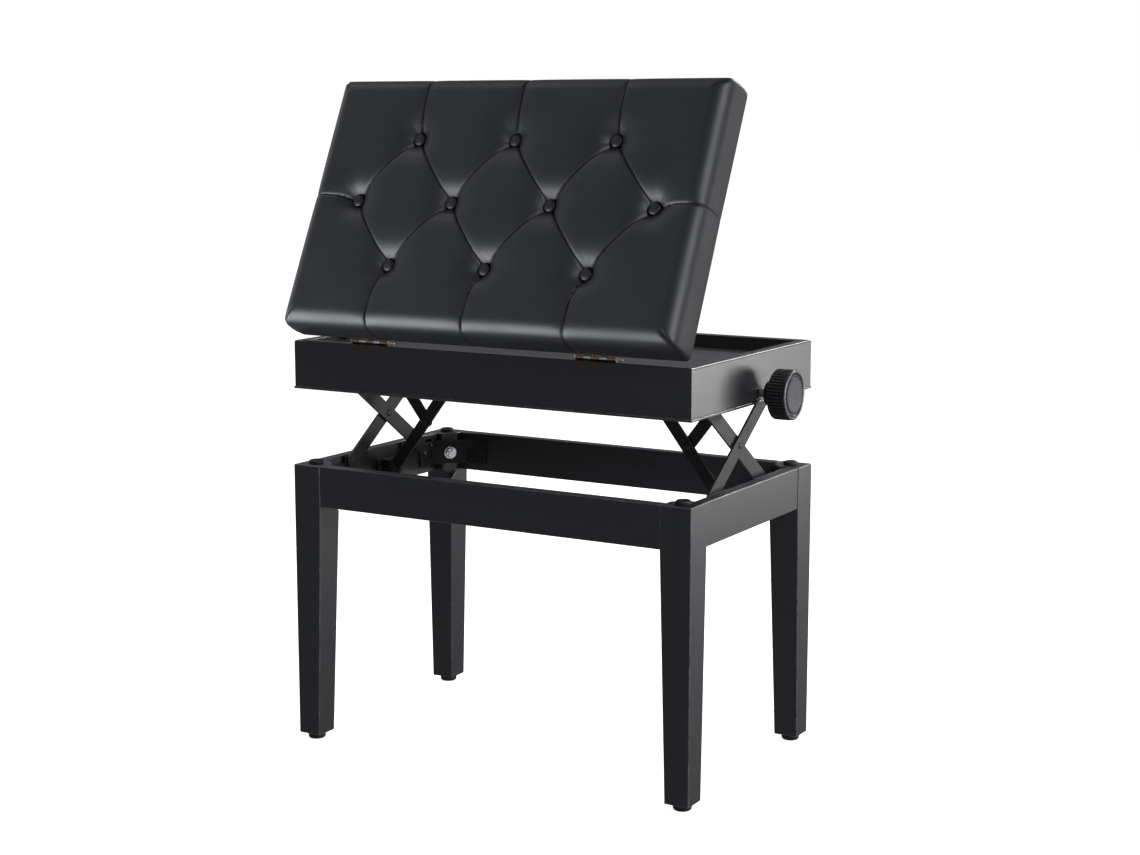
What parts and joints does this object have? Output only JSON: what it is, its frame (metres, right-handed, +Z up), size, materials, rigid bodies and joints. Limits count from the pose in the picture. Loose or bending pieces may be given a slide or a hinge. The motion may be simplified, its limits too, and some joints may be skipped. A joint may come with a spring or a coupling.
{
  "type": "piano bench",
  "caption": "Height-adjustable piano bench with a tufted hinged seat over a shallow storage box, on a screw-driven scissor lift and a legged wooden base.",
  "frame": {"origin": "on the floor under the middle of the whole outline, with the seat raised, the lid open and the knob included", "axes": "+Z up, +X towards the knob end, -Y towards the hinged front of the seat"},
  "size_m": [0.602, 0.3658, 0.8345],
  "materials": {
    "black_wood": "satin black lacquer",
    "black_board": "matt black board",
    "black_steel": "satin black paint",
    "dark_fasteners": "blackened steel",
    "zinc": "zinc-plated steel",
    "black_rubber": "matt black rubber",
    "bush_plastic": "matt black nylon",
    "knob_plastic": "satin black plastic",
    "knob_cap_gloss": "semi-gloss black plastic",
    "black_leather": "soft satin black leather, finely grained",
    "foam": "soft upholstery foam",
    "hinge_brass": "worn brass-plated steel",
    "hinge_steel": "nickel-plated steel"
  },
  "bodies": {
    "base": {"front_left_leg": "black_wood", "front_right_leg": "black_wood", "rear_left_leg": "black_wood", "rear_right_leg": "black_wood", "front_apron": "black_wood", "rear_apron": "black_wood", "left_apron": "black_wood", "right_apron": "black_wood", "corner_plates": "black_steel", "hanger_bolts": "zinc", "corner_washers": "zinc", "corner_nuts": "zinc", "frame_screws": "dark_fasteners", "bumpers": "black_rubber", "foot_glides": "black_rubber", "lower_brackets": "black_steel", "lower_rails": "black_steel", "base_pivot_pins": "dark_fasteners"},
    "left_long_link": {"left_long_arm": "black_steel", "left_arm_rivet": "dark_fasteners"},
    "left_half_link": {"left_half_arm": "black_steel"},
    "box": {"front_panel": "black_wood", "rear_panel": "black_wood", "left_panel": "black_wood", "right_panel": "black_wood", "tray": "black_board", "bottom_trim": "black_wood", "upper_brackets": "black_steel", "upper_rails": "black_steel", "box_screws": "dark_fasteners", "box_pivot_pins": "dark_fasteners", "screw_bush": "bush_plastic", "end_bearing": "black_steel", "hinge_box_leaves": "hinge_brass", "stay_stud": "dark_fasteners"},
    "left_screw_nut": {"left_nut": "black_steel"},
    "right_long_link": {"right_long_arm": "black_steel", "right_arm_rivet": "dark_fasteners"},
    "right_half_link": {"right_half_arm": "black_steel"},
    "right_screw_nut": {"right_nut": "black_steel"},
    "left_outer_link": {"left_outer_arm": "black_steel", "left_scissor_rivet": "dark_fasteners"},
    "left_inner_link": {"left_inner_arm": "black_steel"},
    "right_outer_link": {"right_outer_arm": "black_steel", "right_scissor_rivet": "dark_fasteners"},
    "right_inner_link": {"right_inner_arm": "black_steel"},
    "screw": {"lead_screw": "zinc", "screw_collars": "black_steel", "knob": "knob_plastic", "knob_cap": "knob_cap_gloss"},
    "lid": {"lid_board": "black_board", "cushion": "black_leather", "foam_pad": "foam", "buttons": "black_leather", "hinge_lid_leaves": "hinge_brass", "hinge_pins": "hinge_steel", "lid_screws": "hinge_steel", "stay_track": "black_steel", "lid_pads": "black_rubber"},
    "stay": {"stay_arm": "black_steel"}
  },
  "joints": [
    {"name": "lift", "type": "hinge", "parent": "base", "child": "left_long_link", "pos_m": [-0.2625, 0.0159, 0.3315], "axis": [0, -1, 0], "range_deg": [-38.45, 0]},
    {"name": "left_half_pivot", "type": "hinge", "parent": "left_long_link", "child": "left_half_link", "pos_m": [-0.21202, 0.0159, 0.397], "axis": [0, -1, 0], "range_deg": [-0.02, 76.93]},
    {"name": "box_pivot", "type": "hinge", "parent": "left_half_link", "child": "box", "pos_m": [-0.2625, 0.0159, 0.46251], "axis": [0, -1, 0], "range_deg": [-38.47, 0.02]},
    {"name": "left_nut_pivot", "type": "hinge", "parent": "left_long_link", "child": "left_screw_nut", "pos_m": [-0.16154, 0.0159, 0.46251], "axis": [0, -1, 0], "range_deg": [-0.02, 38.47]},
    {"name": "right_long_pivot", "type": "hinge", "parent": "base", "child": "right_long_link", "pos_m": [0.2205, 0.0159, 0.3315], "axis": [0, 1, 0], "range_deg": [-38.47, 0.02]},
    {"name": "right_half_pivot", "type": "hinge", "parent": "right_long_link", "child": "right_half_link", "pos_m": [0.17002, 0.0159, 0.397], "axis": [0, 1, 0], "range_deg": [-0.02, 76.93]},
    {"name": "right_nut_pivot", "type": "hinge", "parent": "right_long_link", "child": "right_screw_nut", "pos_m": [0.11954, 0.0159, 0.46251], "axis": [0, 1, 0], "range_deg": [-0.02, 38.47]},
    {"name": "left_scissor_pivot", "type": "hinge", "parent": "base", "child": "left_outer_link", "pos_m": [-0.279, -0.0584, 0.35], "axis": [1, 0, 0], "range_deg": [-30.87, 0.02]},
    {"name": "left_scissor_cross", "type": "hinge", "parent": "left_outer_link", "child": "left_inner_link", "pos_m": [-0.277, 0.0159, 0.403], "axis": [1, 0, 0], "range_deg": [-0.02, 61.72]},
    {"name": "right_scissor_pivot", "type": "hinge", "parent": "base", "child": "right_outer_link", "pos_m": [0.237, -0.0584, 0.35], "axis": [1, 0, 0], "range_deg": [-30.87, 0.02]},
    {"name": "right_scissor_cross", "type": "hinge", "parent": "right_outer_link", "child": "right_inner_link", "pos_m": [0.235, 0.0159, 0.403], "axis": [1, 0, 0], "range_deg": [-0.02, 61.72]},
    {"name": "knob_turn", "type": "hinge", "parent": "box", "child": "screw", "pos_m": [0.289, 0.0319, 0.466], "axis": [1, 0, 0], "range_deg": [-2681.94, 1]},
    {"name": "lid_hinge", "type": "hinge", "parent": "box", "child": "lid", "pos_m": [-0.021, -0.1391, 0.5173], "axis": [1, 0, 0], "range_deg": [-64.7, 0]},
    {"name": "stay_pivot", "type": "hinge", "parent": "box", "child": "stay", "pos_m": [-0.2815, -0.06329, 0.5118], "axis": [1, 0, 0], "range_deg": [-133.82, 0.02]}
  ],
  "couplings": [
    {"joint": "left_half_pivot", "follows": "lift", "ratio": -2},
    {"joint": "box_pivot", "follows": "lift", "ratio": 1},
    {"joint": "left_nut_pivot", "follows": "lift", "ratio": -1},
    {"joint": "right_long_pivot", "follows": "lift", "ratio": 1},
    {"joint": "right_half_pivot", "follows": "lift", "ratio": -2},
    {"joint": "right_nut_pivot", "follows": "lift", "ratio": -1},
    {"joint": "left_scissor_pivot", "follows": "lift", "ratio": 0.80226},
    {"joint": "left_scissor_cross", "follows": "lift", "ratio": -1.6045},
    {"joint": "right_scissor_pivot", "follows": "lift", "ratio": 0.80226},
    {"joint": "right_scissor_cross", "follows": "lift", "ratio": -1.6045},
    {"joint": "knob_turn", "follows": "lift", "ratio": 69.72},
    {"joint": "stay_pivot", "follows": "lid_hinge", "ratio": 2.068}
  ]
}
